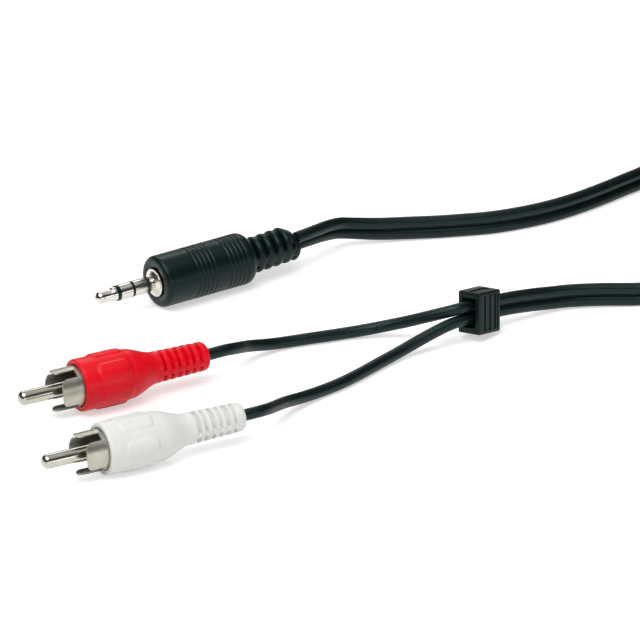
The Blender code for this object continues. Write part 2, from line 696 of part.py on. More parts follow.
def block_guides(parent):
    # Shapes cut from the block: the slot, and panels and grooves on its sides and top.
    half_length = BLOCK_LENGTH / 2
    half_width = BLOCK_WIDTH / 2
    half_height = BLOCK_HEIGHT / 2
    beyond = 0.001
    inside = half_length - BLOCK_LIP
    panel_top = half_height - BLOCK_LIP
    shapes = {
        "block_slot": ((-half_length - beyond, -BLOCK_SLOT_WIDTH / 2, -BLOCK_SLOT_HEIGHT / 2),
                       (half_length + beyond, BLOCK_SLOT_WIDTH / 2, BLOCK_SLOT_HEIGHT / 2)),
        "block_top_groove": ((-inside, -BLOCK_GROOVE_WIDTH, half_height - BLOCK_GROOVE_DEPTH),
                             (inside, BLOCK_GROOVE_WIDTH, half_height + beyond)),
    }
    for side in (-1, 1):
        label = "near" if side < 0 else "far"
        outer = side * (half_width + beyond)
        panel = side * (half_width - BLOCK_PANEL_DEPTH)
        floor = side * (half_width - BLOCK_PANEL_DEPTH - BLOCK_GROOVE_DEPTH)
        shapes[f"block_panel_{label}"] = (
            (-inside, min(panel, outer), -panel_top), (inside, max(panel, outer), panel_top))
        for i in range(BLOCK_GROOVES):
            centre = (i - (BLOCK_GROOVES - 1) / 2) * BLOCK_GROOVE_PITCH
            half = BLOCK_GROOVE_WIDTH / 2
            shapes[f"block_groove_{label}_{i + 1}"] = (
                (centre - half, min(floor, outer), -panel_top),
                (centre + half, max(floor, outer), panel_top))
    return [add_guide(name, box_mesh(name, low, high), parent)
            for name, (low, high) in shapes.items()]


def make_block():
    half = Vector((BLOCK_LENGTH, BLOCK_WIDTH, BLOCK_HEIGHT)) / 2
    block = add_object("splitter_block", box_mesh("splitter_block", -half, half),
                       "black_plastic")
    rounding = block.modifiers.new("rounding", "BEVEL")
    rounding.width = BLOCK_ROUNDING
    rounding.segments = 2
    for guide in block_guides(block):
        cut(block, guide)
    block.rotation_euler = BLOCK_TURN
    # The block leans as it lies, so its height follows from its lowest rounded corner.
    down = block.rotation_euler.to_matrix()[2]
    height = BLOCK_ROUNDING
    for share, size in zip(down, half):
        height += abs(share) * (size - BLOCK_ROUNDING)
    block.location = (*BLOCK_PLACE, height)


def smooth_route(points, step):
    # A smooth curve through the points, read off at even steps along its length.
    knots = [Vector(point) for point in points]
    knots = [2 * knots[0] - knots[1]] + knots + [2 * knots[-1] - knots[-2]]
    dense = []
    for i in range(1, len(knots) - 2):
        before, start, end, after = knots[i - 1:i + 3]
        for k in range(12):
            t = k / 12
            dense.append(0.5 * (
                2 * start + (end - before) * t
                + (2 * before - 5 * start + 4 * end - after) * t ** 2
                + (3 * start - before - 3 * end + after) * t ** 3))
    dense.append(knots[-2])
    travelled = [0.0]
    for first, second in zip(dense, dense[1:]):
        travelled.append(travelled[-1] + (second - first).length)
    count = max(2, round(travelled[-1] / step))
    route = []
    place = 0
    for i in range(count):
        target = travelled[-1] * i / count
        while travelled[place + 1] < target:
            place += 1
        share = (target - travelled[place]) / (travelled[place + 1] - travelled[place])
        route.append(dense[place].lerp(dense[place + 1], share))
    route.append(dense[-1])
    return route


def cord_curve(name, points):
    route = smooth_route(points, ROUTE_STEP)
    curve = bpy.data.curves.new(name, "CURVE")
    curve.dimensions = "3D"
    curve.twist_mode = "Z_UP"
    curve.use_fill_caps = True
    spline = curve.splines.new("POLY")
    spline.points.add(len(route) - 1)
    for point, place in zip(spline.points, route):
        point.co = (*place, 1.0)
    return curve


def make_lead(name, points):
    curve = cord_curve(name, points)
    curve.bevel_depth = LEAD_RADIUS
    curve.bevel_resolution = 2
    return add_object(name, curve, "cable_sheath")


def twin_section():
    # The figure of eight: two round halves one above the other, joined by a narrow web.
    start = math.acos(TWIN_WEB_HALF_WIDTH / LEAD_RADIUS)
    sweep = math.pi + 2 * start
    steps = 6
    section = bpy.data.curves.new("twin_section", "CURVE")
    section.dimensions = "2D"
    spline = section.splines.new("POLY")
    spline.points.add(2 * (steps + 1) - 1)
    index = 0
    for side in (1, -1):
        for i in range(steps + 1):
            angle = math.pi + start - sweep * i / steps
            if side < 0:
                angle += math.pi
            x = LEAD_RADIUS * math.cos(angle)
            y = LEAD_RADIUS * math.sin(angle) + side * LEAD_RADIUS
            spline.points[index].co = (x, y, 0.0, 1.0)
            index += 1
    spline.use_cyclic_u = True
    guide = bpy.data.objects.new("twin_section", section)
    bpy.context.collection.objects.link(guide)
    guide.hide_render = True
    guide.display_type = "WIRE"
    return guide


def make_twin(name, points, section):
    curve = cord_curve(name, points)
    curve.bevel_mode = "OBJECT"
    curve.bevel_object = section
    return add_object(name, curve, "cable_sheath")


def make_coil():
    bottom = TIE_THICKNESS + TIE_GAP
    corner = COIL_CORNER
    low = bottom + corner
    high = bottom + COIL_HEIGHT - corner
    inner = COIL_INNER_RADIUS + corner
    outer = COIL_OUTER_RADIUS - corner
    profile = []
    for x, radius, start in ((high, outer, 90), (high, inner, 0), (low, inner, -90),
                             (low, outer, 180)):
        profile += round_corner(x, radius, corner, start, start - 90, 1)
    mesh = turned_mesh("cable_coil", profile, even_angles(COIL_SIDES), closed=True)
    # The ring is turned about X, then laid down so that its axis stands up.
    mesh.transform(Matrix.Rotation(math.radians(-90), 4, "Y"))
    coil = add_object("cable_coil", mesh, "cable_sheath")
    coil.location = (*COIL_CENTRE, 0.0)
    return coil


def make_tie():
    # A flat band round the ring's section, a little off it all round.
    near = COIL_INNER_RADIUS - TIE_GAP
    far = COIL_OUTER_RADIUS + TIE_GAP
    top = TIE_THICKNESS + 2 * TIE_GAP + COIL_HEIGHT
    work = bmesh.new()
    loops = []
    for across in (-TIE_WIDTH / 2, TIE_WIDTH / 2):
        for grow in (0.0, TIE_THICKNESS):
            corners = [
                (near - grow, TIE_THICKNESS - grow), (far + grow, TIE_THICKNESS - grow),
                (far + grow, top + grow), (near - grow, top + grow)]
            loops.append([work.verts.new((x, across, z)) for x, z in corners])
    inner_a, outer_a, inner_b, outer_b = loops
    for first, second in ((inner_a, outer_a), (outer_a, outer_b),
                          (outer_b, inner_b), (inner_b, inner_a)):
        for i in range(4):
            j = (i + 1) % 4
            work.faces.new((first[i], first[j], second[j], second[i]))
    tie = add_object("coil_tie", mesh_from("coil_tie", work), "black_plastic")
    tie.location = (*COIL_CENTRE, 0.0)
    tie.rotation_euler = (0.0, 0.0, TIE_HEADING)
    return tie


def make_cords():
    section = twin_section()
    make_twin("twin_cable", TWIN_ROUTE, section)
    make_twin("twin_cable_tail", TAIL_ROUTE, section)
    make_lead("red_lead", RED_ROUTE)
    make_lead("white_lead", WHITE_ROUTE)
    make_coil()
    make_tie()


clear_scene()
make_jack()
make_phono("red", RED_PLUG, RED_PLACE)
make_phono("white", WHITE_PLUG, WHITE_PLACE)
make_block()
make_cords()
bpy.context.view_layer.update()
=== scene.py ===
import math

import bmesh
import bpy
from mathutils import Matrix, Vector


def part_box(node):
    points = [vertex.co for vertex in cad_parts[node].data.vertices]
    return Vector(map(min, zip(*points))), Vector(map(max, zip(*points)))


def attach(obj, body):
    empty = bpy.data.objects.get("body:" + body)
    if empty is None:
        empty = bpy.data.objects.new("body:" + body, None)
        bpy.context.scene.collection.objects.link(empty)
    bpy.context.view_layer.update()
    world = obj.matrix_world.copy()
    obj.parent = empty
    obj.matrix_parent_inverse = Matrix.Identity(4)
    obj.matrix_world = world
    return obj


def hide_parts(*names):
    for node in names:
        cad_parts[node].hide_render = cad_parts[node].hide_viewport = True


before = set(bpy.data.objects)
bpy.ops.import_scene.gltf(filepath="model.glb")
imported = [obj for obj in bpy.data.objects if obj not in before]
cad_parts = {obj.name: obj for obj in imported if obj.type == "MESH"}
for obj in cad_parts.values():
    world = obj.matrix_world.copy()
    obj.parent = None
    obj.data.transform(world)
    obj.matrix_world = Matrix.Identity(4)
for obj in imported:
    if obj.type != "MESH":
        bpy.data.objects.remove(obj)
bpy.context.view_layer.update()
mm = 0.001
print("frame loaded:", len(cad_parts), "nodes")


# Small helpers used by every piece

def ease(share):
    share = min(max(share, 0.0), 1.0)
    return share * share * (3 - 2 * share)


def ramp(value, start, end):
    return ease((value - start) / (end - start))


def angleFrom(angle, centre):
    # How far the angle lies from the centre, at most half a turn either way.
    return (angle - centre + math.pi) % (2 * math.pi) - math.pi


def joinRings(work, first, second):
    # Faces between two rings of corners; a ring of one corner closes an end.
    sides = max(len(first), len(second))
    for i in range(sides):
        j = (i + 1) % sides
        corners = [first[i % len(first)], first[j % len(first)]]
        corners += [second[j % len(second)], second[i % len(second)]]
        corners = list(dict.fromkeys(corners))
        if len(corners) > 2:
            work.faces.new(corners)


def turned(profile, sides, surface=None, closed=False):
    # Turns (x, radius) points about the X axis; a radius of 0 closes an end.
    work = bmesh.new()
    rings = []
    for x, radius in profile:
        if radius == 0:
            rings.append([work.verts.new((x, 0, 0))])
            continue
        ring = []
        for i in range(sides):
            angle = 2 * math.pi * i / sides
            reach = surface(x, radius, angle) if surface else radius
            ring.append(work.verts.new((x, reach * math.cos(angle), reach * math.sin(angle))))
        rings.append(ring)
    if closed:
        rings.append(rings[0])
    for first, second in zip(rings, rings[1:]):
        joinRings(work, first, second)
    return work


def arc(x, radius, size, start, end, steps=10):
    # Profile points on a small arc about (x, radius), directions in degrees.
    points = []
    for i in range(steps + 1):
        angle = math.radians(start + (end - start) * i / steps)
        points.append((x + size * math.cos(angle), radius + size * math.sin(angle)))
    return points


def evenPoints(start, end, step, radiusAt):
    # Profile points a step apart, for a stretch that a surface function shapes.
    points = []
    x = start
    while x < end:
        points.append((x, radiusAt(x)))
        x += step
    return points


def edged(points, size):
    # Eases the corners of a stepped profile so that they catch the light.
    eased = [points[0]]
    for before, corner, after in zip(points, points[1:], points[2:]):
        here = Vector((*corner, 0))
        for other in (before, after):
            way = Vector((*other, 0)) - here
            reach = min(size, way.length * 0.4)
            spot = here + way.normalized() * reach
            eased.append((spot.x, spot.y))
    eased.append(points[-1])
    return eased


def newObject(name, work):
    mesh = bpy.data.meshes.new(name)
    work.to_mesh(mesh)
    work.free()
    item = bpy.data.objects.new(name, mesh)
    bpy.context.collection.objects.link(item)
    return item


def addPiece(name, work, material, nodes, place=None, crease=35):
    bmesh.ops.recalc_face_normals(work, faces=work.faces)
    piece = newObject(name, work)
    if place:
        piece.data.transform(place)
    piece.data.shade_smooth()
    piece.data.set_sharp_from_angle(angle=math.radians(crease))
    piece.data.materials.append(material)
    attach(piece, "root")
    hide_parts(*nodes)
    return piece


def middleHeight(node):
    low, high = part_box(node)
    return (low[2] + high[2]) / 2


def plugPlace(spot, node):
    turn = Matrix.Rotation(math.radians(spot["heading"]), 4, "Z")
    return Matrix.Translation((spot["x"], spot["y"], middleHeight(node))) @ turn


# Materials

def newMaterial(name):
    material = bpy.data.materials.new(name)
    material.use_nodes = True
    nodes = material.node_tree.nodes
    return material, nodes, material.node_tree.links, nodes["Principled BSDF"]


def addNoise(nodes, links, scale, detail=3.0, stretch=None):
    place = nodes.new("ShaderNodeTexCoord")
    noise = nodes.new("ShaderNodeTexNoise")
    noise.inputs["Scale"].default_value = scale
    noise.inputs["Detail"].default_value = detail
    if stretch:
        mapping = nodes.new("ShaderNodeMapping")
        mapping.inputs["Scale"].default_value = stretch
        links.new(place.outputs["Object"], mapping.inputs["Vector"])
        links.new(mapping.outputs["Vector"], noise.inputs["Vector"])
    else:
        links.new(place.outputs["Object"], noise.inputs["Vector"])
    return noise


def addRamp(nodes, links, source, low, high, start=0.3, end=0.7):
    blend = nodes.new("ShaderNodeValToRGB")
    blend.color_ramp.elements[0].position = start
    blend.color_ramp.elements[0].color = (*low, 1)
    blend.color_ramp.elements[1].position = end
    blend.color_ramp.elements[1].color = (*high, 1)
    links.new(source, blend.inputs["Fac"])
    return blend


def addBump(nodes, links, height, shader, strength, distance):
    bump = nodes.new("ShaderNodeBump")
    bump.inputs["Strength"].default_value = strength
    bump.inputs["Distance"].default_value = distance
    links.new(height, bump.inputs["Height"])
    links.new(bump.outputs["Normal"], shader.inputs["Normal"])


def addColour(nodes, links, shader, look, scale):
    # Cloudy patches between the finish's deep colour and its main one.
    cloud = addNoise(nodes, links, scale)
    colour = addRamp(nodes, links, cloud.outputs["Fac"], look["deep"], look["colour"])
    links.new(colour.outputs["Color"], shader.inputs["Base Color"])


def addGloss(nodes, links, shader, source, low, high):
    gloss = addRamp(nodes, links, source, [low] * 3, [high] * 3)
    links.new(gloss.outputs["Color"], shader.inputs["Roughness"])


plastic = {"glossScale": 2.5, "glossSpread": 0.05, "grainDepth": 0.02 * mm,
           "glowDepth": 0.8 * mm}


def mouldedPlastic(name, look):
    # Soft vinyl: faint cloudiness in the colour, a satin skin and a very fine grain.
    material, nodes, links, shader = newMaterial(name)
    addColour(nodes, links, shader, look, look["cloudScale"])
    skin = addNoise(nodes, links, look["cloudScale"] * plastic["glossScale"])
    addGloss(nodes, links, shader, skin.outputs["Fac"],
             look["roughness"] - plastic["glossSpread"],
             look["roughness"] + plastic["glossSpread"])
    grain = addNoise(nodes, links, look["grainScale"], detail=2.0)
    addBump(nodes, links, grain.outputs["Fac"], shader, look["grain"], plastic["grainDepth"])
    shader.inputs["Subsurface Weight"].default_value = look["glow"]
    shader.inputs["Subsurface Scale"].default_value = plastic["glowDepth"]
    shader.inputs["Subsurface Radius"].default_value = look["glowRadius"]
    shader.inputs["Specular IOR Level"].default_value = look["shine"]
    shader.inputs["Specular Tint"].default_value = (*look.get("tint", (1, 1, 1)), 1)
    return material


plating = {"stainScale": 400, "marksRound": 260, "smoother": 0.04, "rougher": 0.06,
           "marksDepth": 0.01 * mm}


def platedMetal(name, look):
    # Bright plating over turned brass: tool marks round the axis, uneven polish.
    material, nodes, links, shader = newMaterial(name)
    shader.inputs["Metallic"].default_value = 1.0
    addColour(nodes, links, shader, look, plating["stainScale"])
    marks = addNoise(nodes, links, 1.0, detail=4.0,
                     stretch=(look["marks"], plating["marksRound"], plating["marksRound"]))
    addGloss(nodes, links, shader, marks.outputs["Fac"],
             look["roughness"] - plating["smoother"], look["roughness"] + plating["rougher"])
    addBump(nodes, links, marks.outputs["Fac"], shader, look["bump"], plating["marksDepth"])
    return material


finishes = {
    "nickel": {"colour": (0.50, 0.49, 0.43), "deep": (0.42, 0.41, 0.35),
               "roughness": 0.19, "marks": 5200, "bump": 0.25},
    # Painted light: the same nickel plating made lighter, so that the jack's contacts look more
    # brightly lit than the pins.
    "jackNickelPaintedLight": {"colour": (0.68, 0.66, 0.60), "deep": (0.58, 0.56, 0.50),
                   "roughness": 0.17, "marks": 5200, "bump": 0.25},
    # Painted shade: the same nickel plating made darker on the collar; its higher roughness is
    # the stamped ring's real satin finish.
    "collarNickelPaintedShade": {"colour": (0.46, 0.45, 0.39), "deep": (0.38, 0.37, 0.31),
                     "roughness": 0.38, "marks": 2600, "bump": 0.3},
    "brass": {"colour": (0.72, 0.56, 0.28), "deep": (0.58, 0.44, 0.22),
              "roughness": 0.32, "marks": 3000, "bump": 0.3},
    "blackPvc": {"colour": (0.003, 0.008, 0.008), "deep": (0.002, 0.006, 0.006),
                 "roughness": 0.36, "cloudScale": 260, "grainScale": 5200, "grain": 0.25,
                 "glow": 0.0, "glowRadius": (1, 1, 1), "shine": 0.27,
                 "tint": (0.62, 0.95, 0.90)},
    "sheath": {"colour": (0.004, 0.009, 0.009), "deep": (0.003, 0.007, 0.007),
               "roughness": 0.36, "cloudScale": 220, "grainScale": 4200, "grain": 0.3,
               "glow": 0.0, "glowRadius": (1, 1, 1), "shine": 0.28,
               "tint": (0.65, 0.98, 0.95)},
    "redPvc": {"colour": (0.80, 0.003, 0.015), "deep": (0.72, 0.002, 0.011),
               "roughness": 0.38, "cloudScale": 200, "grainScale": 4800, "grain": 0.22,
               "glow": 0.10, "glowRadius": (1.0, 0.05, 0.05), "shine": 0.24},
    "whitePvc": {"colour": (0.76, 0.77, 0.74), "deep": (0.72, 0.73, 0.70),
                 "roughness": 0.42, "cloudScale": 200, "grainScale": 4800, "grain": 0.22,
                 "glow": 0.05, "glowRadius": (1, 1, 1), "shine": 0.45},
    # Painted shade: the insulators are made far darker than red and white PVC, standing in for
    # the shade deep inside the plug mouths.
    "redInsulator": {"colour": (0.16, 0.012, 0.014), "deep": (0.12, 0.008, 0.010),
                     "roughness": 0.5, "cloudScale": 200, "grainScale": 4800, "grain": 0.2,
                     "glow": 0.0, "glowRadius": (1, 1, 1), "shine": 0.2},
    "whiteInsulator": {"colour": (0.32, 0.32, 0.30), "deep": (0.26, 0.26, 0.24),
                       "roughness": 0.5, "cloudScale": 200, "grainScale": 4800, "grain": 0.2,
                       "glow": 0.0, "glowRadius": (1, 1, 1), "shine": 0.2},
    "innerMoulding": {"colour": (0.36, 0.37, 0.37), "deep": (0.28, 0.29, 0.29),
                      "roughness": 0.55, "cloudScale": 300, "grainScale": 3000, "grain": 0.5,
                      "glow": 0.0, "glowRadius": (1, 1, 1), "shine": 0.4},
}
nickel = platedMetal("platedNickel", finishes["nickel"])
jackNickelPaintedLight = platedMetal("jackNickelPaintedLight", finishes["jackNickelPaintedLight"])
collarNickelPaintedShade = platedMetal("collarNickelPaintedShade", finishes["collarNickelPaintedShade"])
brass = platedMetal("stampedBrass", finishes["brass"])
blackPvc = mouldedPlastic("blackPvc", finishes["blackPvc"])
sheath = mouldedPlastic("cableSheath", finishes["sheath"])
redPvc = mouldedPlastic("redPvc", finishes["redPvc"])
whitePvc = mouldedPlastic("whitePvc", finishes["whitePvc"])
redInsulator = mouldedPlastic("redInsulator", finishes["redInsulator"])
whiteInsulator = mouldedPlastic("whiteInsulator", finishes["whiteInsulator"])
innerMoulding = mouldedPlastic("innerMoulding", finishes["innerMoulding"])
print("materials made")


# Camera, at the photograph's angle

view = {"target": (0.02994, 0.00848, 0.00016), "azimuth": -30.0, "elevation": 25.5,
        "distance": 2.2, "pixelsPerMetre": 4630, "pictureWidth": 640, "sensorWidth": 36}


def placeCamera():
    turn = math.radians(view["azimuth"])
    tilt = math.radians(view["elevation"])
    level = Vector((-math.sin(turn), math.cos(turn), 0))
    forward = level * math.cos(tilt) - Vector((0, 0, math.sin(tilt)))
    data = bpy.data.cameras.new("photoCamera")
    data.sensor_width = view["sensorWidth"]
    zoom = view["pixelsPerMetre"] * view["distance"] / view["pictureWidth"]
    data.lens = zoom * view["sensorWidth"]
    camera = bpy.data.objects.new("photoCamera", data)
    camera.location = Vector(view["target"]) - forward * view["distance"]
    camera.rotation_euler = forward.to_track_quat("-Z", "Y").to_euler()
    bpy.context.collection.objects.link(camera)
    bpy.context.scene.camera = camera


placeCamera()
print("camera placed")


# Cords: routes of the centre lines, in metres

twinRoute = [
    (0.03880, 0.03479, 0.00610), (0.0406, 0.03500, 0.0062), (0.0443, 0.03600, 0.0060),
    (0.0482, 0.03745, 0.0055), (0.0520, 0.03855, 0.0048), (0.0551, 0.03840, 0.0041),
    (0.0612, 0.03675, 0.0032), (0.0672, 0.03482, 0.0028), (0.0730, 0.03262, 0.0026),
    (0.0788, 0.03042, 0.0026), (0.0848, 0.02842, 0.0026), (0.0912, 0.02732, 0.0026),
    (0.0980, 0.02692, 0.0026), (0.1052, 0.02742, 0.0026), (0.1129, 0.02882, 0.0026),
    (0.1208, 0.03072, 0.0026), (0.1247, 0.03162, 0.0026), (0.1312, 0.03342, 0.0026),
    (0.1376, 0.03442, 0.0026), (0.1437, 0.03432, 0.0026), (0.1497, 0.03302, 0.0026),
    (0.1579, 0.02942, 0.0029), (0.1639, 0.02562, 0.0032),
]
tailRoute = [
    (0.0562, -0.01408, 0.0054), (0.0597, -0.01288, 0.0049), (0.0646, -0.01268, 0.0046),
    (0.0701, -0.01248, 0.0040), (0.0753, -0.01228, 0.0032), (0.0800, -0.01298, 0.0029),
    (0.0859, -0.01538, 0.0028), (0.0919, -0.01828, 0.0026), (0.0938, -0.01918, 0.0026),
    (0.0985, -0.02218, 0.0031), (0.1034, -0.02568, 0.0042), (0.1084, -0.02908, 0.0057),
    (0.1135, -0.03238, 0.0070), (0.1186, -0.03548, 0.0079),
]
redRoute = [
    (-0.00567, -0.00503, 0.0060), (-0.0040, -0.00503, 0.0060), (-0.0012, -0.00478, 0.0059),
    (0.0025, -0.00348, 0.0050), (0.0068, -0.00118, 0.0035), (0.0125, 0.00012, 0.0020),
    (0.0174, 0.00022, 0.0014), (0.0219, -0.00058, 0.0014), (0.0263, -0.00148, 0.0014),
    (0.0307, -0.00228, 0.0014), (0.0348, -0.00368, 0.0018), (0.0385, -0.00578, 0.0027),
    (0.0417, -0.00868, 0.0041), (0.0447, -0.01168, 0.0057), (0.0478, -0.01428, 0.0071),
    (0.05075, -0.01566, 0.00789), (0.05354, -0.01471, 0.00733), (0.05605, -0.01386, 0.00683),
]
whiteRoute = [
    (-0.01352, -0.03444, 0.0060), (-0.0117, -0.03446, 0.0060), (-0.0091, -0.03428, 0.0059),
    (-0.0058, -0.03248, 0.0050), (-0.0001, -0.02858, 0.0033), (0.0063, -0.02578, 0.0019),
    (0.0119, -0.02418, 0.0014), (0.0171, -0.02298, 0.0014), (0.0227, -0.02108, 0.0014),
    (0.0283, -0.01888, 0.0014), (0.0338, -0.01698, 0.0016), (0.0386, -0.01608, 0.0024),
    (0.0429, -0.01608, 0.0037), (0.0470, -0.01633, 0.0049), (0.0504, -0.01625, 0.00527),
    (0.0532, -0.01531, 0.00472), (0.05571, -0.01446, 0.00422),
]
cordLook = {
    "wireRadius": 1.32 * mm, "webHalfWidth": 0.40 * mm, "twinStep": 1.6 * mm,
    "lean": 26.0, "leanEnd": 32.0 * mm,
    "leadRadius": 1.30 * mm, "leadSides": 28, "leadStep": 1.0 * mm,
    "ridgeHeight": 0.15 * mm, "ridgeAngle": 235.0, "ridgeSpread": 0.14,  # the spread in radians
}
coil = {
    "x": 0.1495, "y": -0.00988, "outer": 34.4 * mm, "pitch": 2.8 * mm,
    "entryRadius": 37.8 * mm, "exitRadius": 37.6 * mm, "start": 63.0, "end": -128.0,
    "fullTurns": 6, "pointEvery": 15.0, "entryBlend": 80.0, "exitBlend": 70.0,
    "climb": 80.0, "lowLayer": 3.2 * mm, "highLayer": 8.3 * mm,
}


def smoothPath(points, step):
    # A smooth curve through the points, read off at even steps.
    knots = [Vector(point) for point in points]
    knots = [2 * knots[0] - knots[1]] + knots + [2 * knots[-1] - knots[-2]]
    parts = 16
    dense = []
    for i in range(1, len(knots) - 2):
        before, start, end, after = knots[i - 1:i + 3]
        for k in range(parts):
            t = k / parts
            dense.append(0.5 * (
                2 * start + (end - before) * t
                + (2 * before - 5 * start + 4 * end - after) * t ** 2
                + (3 * start - before - 3 * end + after) * t ** 3))
    dense.append(knots[-2])
    travelled = [0.0]
    for first, second in zip(dense, dense[1:]):
        travelled.append(travelled[-1] + (second - first).length)
    count = max(2, round(travelled[-1] / step))
    route = []
    place = 0
    for i in range(count):
        target = travelled[-1] * i / count
        while travelled[place + 1] < target:
            place += 1
        share = (target - travelled[place]) / (travelled[place + 1] - travelled[place])
        route.append(dense[place].lerp(dense[place + 1], share))
    route.append(dense[-1])
    return route


def coilPoints():
    # Two layers on edge, wound inwards below and outwards above.
    c = coil
    points = []
    sweep = c["start"] - c["end"] + 360 * c["fullTurns"]
    count = round(sweep / c["pointEvery"])
    half = sweep / 2
    for i in range(count + 1):
        gone = sweep * i / count
        angle = math.radians(c["start"] - gone)
        radius = c["outer"] - c["pitch"] * min(gone, sweep - gone) / 360
        radius += (c["entryRadius"] - c["outer"]) * (1 - ramp(gone, 0, c["entryBlend"]))
        radius += (c["exitRadius"] - c["outer"]) * ramp(gone, sweep - c["exitBlend"], sweep)
        rise = ramp(gone, half - c["climb"] / 2, half + c["climb"] / 2)
        height = c["lowLayer"] + rise * (c["highLayer"] - c["lowLayer"])
        points.append((c["x"] + radius * math.cos(angle), c["y"] + radius * math.sin(angle),
                       height))
    return points


def sweptCord(path, section, lean=0.0, leanEnd=1.0):
    # Sweeps a closed (across, up) section along a path. It stands upright, but starts with a
    # lean in degrees that has gone at leanEnd along the path.
    work = bmesh.new()
    rings = []
    travelled = 0.0
    for i, point in enumerate(path):
        ahead = path[min(i + 1, len(path) - 1)] - path[max(i - 1, 0)]
        forward = ahead.normalized()
        across = forward.cross(Vector((0, 0, 1))).normalized()
        up = across.cross(forward)
        travelled += (point - path[max(i - 1, 0)]).length
        turn = Matrix.Rotation(math.radians(lean) * (1 - ramp(travelled, 0, leanEnd)), 3, forward)
        across, up = turn @ across, turn @ up
        rings.append([work.verts.new(point + across * a + up * b) for a, b in section])
    for first, second in zip(rings, rings[1:]):
        joinRings(work, first, second)
    work.faces.new(rings[0])
    work.faces.new(rings[-1])
    return work


def twinSection():
    # A figure of eight standing on edge, with a narrow web between its halves.
    radius = cordLook["wireRadius"]
    start = math.acos(cordLook["webHalfWidth"] / radius)
    sweep = math.pi + 2 * start
    steps = 14
    points = []
    for side in (0, 1):
        rise = radius if side == 0 else -radius
        for i in range(steps + 1):
            angle = math.pi + start - sweep * i / steps + math.pi * side
            points.append((radius * math.cos(angle), radius * math.sin(angle) + rise))
    return points


def leadSection():
    # Round, with the torn ridge of its web along one side.
    ridge = math.radians(cordLook["ridgeAngle"])
    points = []
    for i in range(cordLook["leadSides"]):
        angle = 2 * math.pi * i / cordLook["leadSides"]
        lift = math.exp(-(angleFrom(angle, ridge) / cordLook["ridgeSpread"]) ** 2)
        reach = cordLook["leadRadius"] + cordLook["ridgeHeight"] * lift
        points.append((reach * math.cos(angle), reach * math.sin(angle)))
    return points


tie = {
    "width": 5.5 * mm, "thickness": 0.38 * mm, "corner": 1.0 * mm, "gap": 0.12 * mm,
    "coilInner": 24.0 * mm, "coilOuter": 34.98 * mm, "heading": -30.0,
}


def coilTie():
    # A flat ribbon round the coil's section, at the side away from the plugs.
    inner = tie["coilInner"] - tie["gap"]
    outer = tie["coilOuter"] + tie["gap"]
    bottom = coil["lowLayer"] - 2 * cordLook["wireRadius"] - tie["gap"]
    top = coil["highLayer"] + 2 * cordLook["wireRadius"] + tie["gap"]
    centre = ((inner + outer) / 2, (bottom + top) / 2)
    half = ((outer - inner) / 2 - tie["corner"], (top - bottom) / 2 - tie["corner"])
    steps = 6
    work = bmesh.new()
    loops = []
    for across in (-tie["width"] / 2, tie["width"] / 2):
        for size in (tie["corner"], tie["corner"] + tie["thickness"]):
            loop = []
            for k, (sx, sz) in enumerate(((1, 1), (-1, 1), (-1, -1), (1, -1))):
                for i in range(steps + 1):
                    angle = math.radians(90 * (k + i / steps))
                    x = centre[0] + sx * half[0] + size * math.cos(angle)
                    z = centre[1] + sz * half[1] + size * math.sin(angle)
                    loop.append(work.verts.new((x, across, z)))
            loops.append(loop)
    innerA, outerA, innerB, outerB = loops
    for first, second in ((innerA, outerA), (outerA, outerB), (outerB, innerB), (innerB, innerA)):
        joinRings(work, first, second)
    turn = Matrix.Rotation(math.radians(tie["heading"]), 4, "Z")
    place = Matrix.Translation((coil["x"], coil["y"], 0)) @ turn
    return addPiece("coilTie", work, blackPvc, ["coil_tie"], place)


def pathLength(path):
    return sum((b - a).length for a, b in zip(path, path[1:]))


tiePiece = coilTie()
twinPath = smoothPath(twinRoute + coilPoints() + tailRoute[::-1], cordLook["twinStep"])
twinWork = sweptCord(twinPath, twinSection(), cordLook["lean"], cordLook["leanEnd"])
twinPiece = addPiece("twinCable", twinWork, sheath,
                     ["twin_cable", "twin_cable_tail", "cable_coil"])
for leadName, route, node, leadLength in (("redLead", redRoute, "red_lead", 0.0695),
                                          ("whiteLead", whiteRoute, "white_lead", 0.0745)):
    leadPath = smoothPath(route, cordLook["leadStep"])
    lead = addPiece(leadName, sweptCord(leadPath, leadSection()), sheath, [node])
    print(leadName, "length", round(pathLength(leadPath), 4))
print("cords laid, twin cable", round(pathLength(twinPath), 4))


# Jack: x runs from the flange's front plane back along the cable, the tip is at -X

